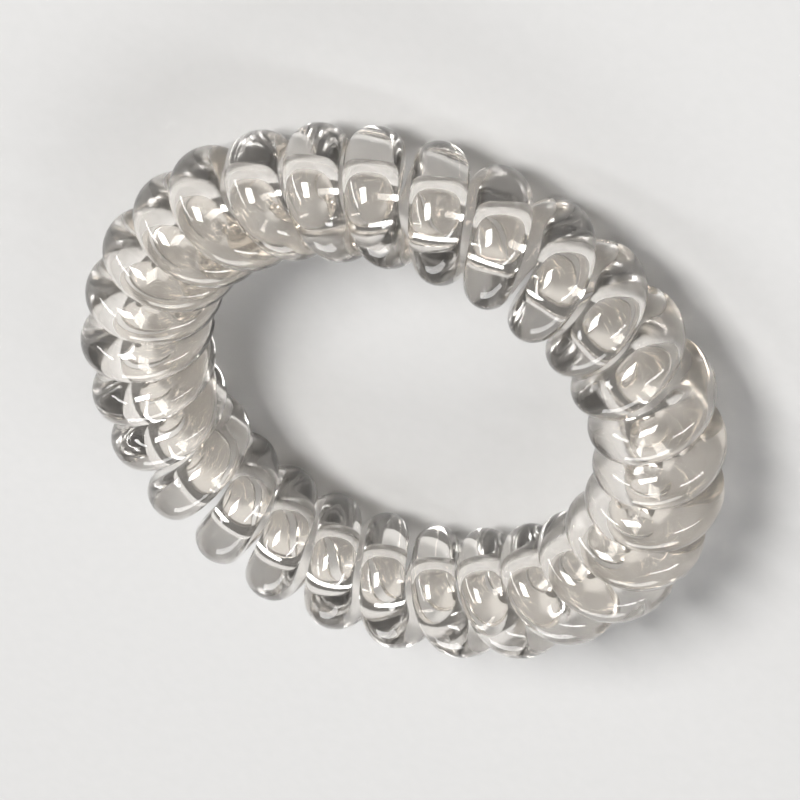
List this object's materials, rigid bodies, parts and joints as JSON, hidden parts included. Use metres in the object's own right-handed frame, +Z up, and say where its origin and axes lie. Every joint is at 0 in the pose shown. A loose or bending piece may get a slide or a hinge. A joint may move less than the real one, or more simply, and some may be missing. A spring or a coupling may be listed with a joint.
{
  "type": "spiral hair tie",
  "caption": "Clear coiled plastic hair tie: a strand wound as a tight coil and closed into a ring, which stretches to grip a bundle of hair.",
  "frame": {"origin": "middle of the ring, at the level of the surface it lies on", "axes": "+Z up through the opening; X and Y across the ring"},
  "size_m": [0.0504, 0.0496, 0.0103],
  "materials": {
    "clear_plastic": "clear, soft gloss"
  },
  "bodies": {
    "root": {"strand": "clear_plastic"}
  },
  "joints": []
}
